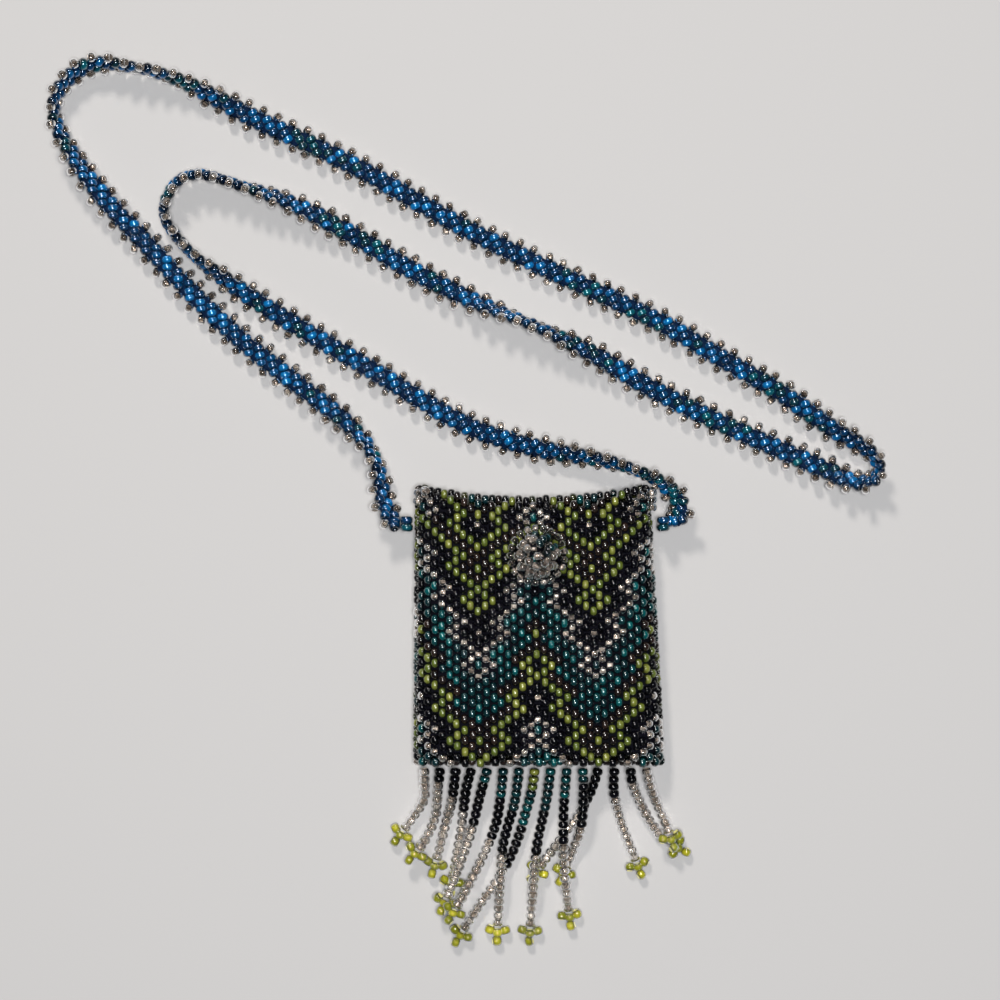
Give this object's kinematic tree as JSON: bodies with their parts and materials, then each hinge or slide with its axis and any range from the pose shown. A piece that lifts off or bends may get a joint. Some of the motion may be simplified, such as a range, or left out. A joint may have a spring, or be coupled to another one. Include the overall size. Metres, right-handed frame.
{
  "type": "beaded medicine bag",
  "caption": "Small flat pouch woven of glass seed beads in a stepped zigzag pattern, with a beaded ball button, a bead fringe and a long flat beaded neck strap.",
  "frame": {"origin": "bottom centre of the box round the bag, its button and its fringe, without the neck strap; z = 0 is the table under its back", "axes": "+Y from the fringe to the mouth, +Z from the back panel to the front panel, +X to the right as the front is seen"},
  "size_m": [0.1734, 0.1846, 0.0175],
  "materials": {
    "olive_beads": "glossy lustred olive green glass seed beads",
    "black_beads": "glossy opaque black glass seed beads with a faint violet sheen",
    "brown_beads": "glossy dark brown glass seed beads with a metallic sheen",
    "teal_beads": "glossy transparent teal glass seed beads",
    "crystal_beads": "clear glass seed beads with a silver lining",
    "gold_beads": "clear yellow-green glass seed beads with a silver lining",
    "blue_beads": "clear blue glass seed beads with a silver lining"
  },
  "bodies": {
    "root": {"front_panel": "olive_beads", "back_panel": "black_beads", "left_seam": "brown_beads", "right_seam": "brown_beads", "bottom_seam": "teal_beads", "button": "crystal_beads", "closing_loop": "crystal_beads", "corner_beads_left": "crystal_beads", "corner_beads_right": "crystal_beads", "strap_join_left": "blue_beads", "strap_join_right": "blue_beads", "strap": "blue_beads", "fringe_strand_01": "crystal_beads", "fringe_strand_02": "crystal_beads", "fringe_strand_03": "crystal_beads", "fringe_strand_04": "crystal_beads", "fringe_strand_05": "crystal_beads", "fringe_strand_06": "crystal_beads", "fringe_strand_07": "crystal_beads", "fringe_strand_08": "crystal_beads", "fringe_strand_09": "crystal_beads", "fringe_strand_10": "crystal_beads", "fringe_strand_11": "crystal_beads", "fringe_strand_12": "crystal_beads", "fringe_strand_13": "crystal_beads", "fringe_strand_14": "crystal_beads", "fringe_strand_15": "crystal_beads", "fringe_tip_01": "gold_beads", "fringe_tip_02": "gold_beads", "fringe_tip_03": "gold_beads", "fringe_tip_04": "gold_beads", "fringe_tip_05": "gold_beads", "fringe_tip_06": "gold_beads", "fringe_tip_07": "gold_beads", "fringe_tip_08": "gold_beads", "fringe_tip_09": "gold_beads", "fringe_tip_10": "gold_beads", "fringe_tip_11": "gold_beads", "fringe_tip_12": "gold_beads", "fringe_tip_13": "gold_beads", "fringe_tip_14": "gold_beads", "fringe_tip_15": "gold_beads"}
  },
  "joints": []
}
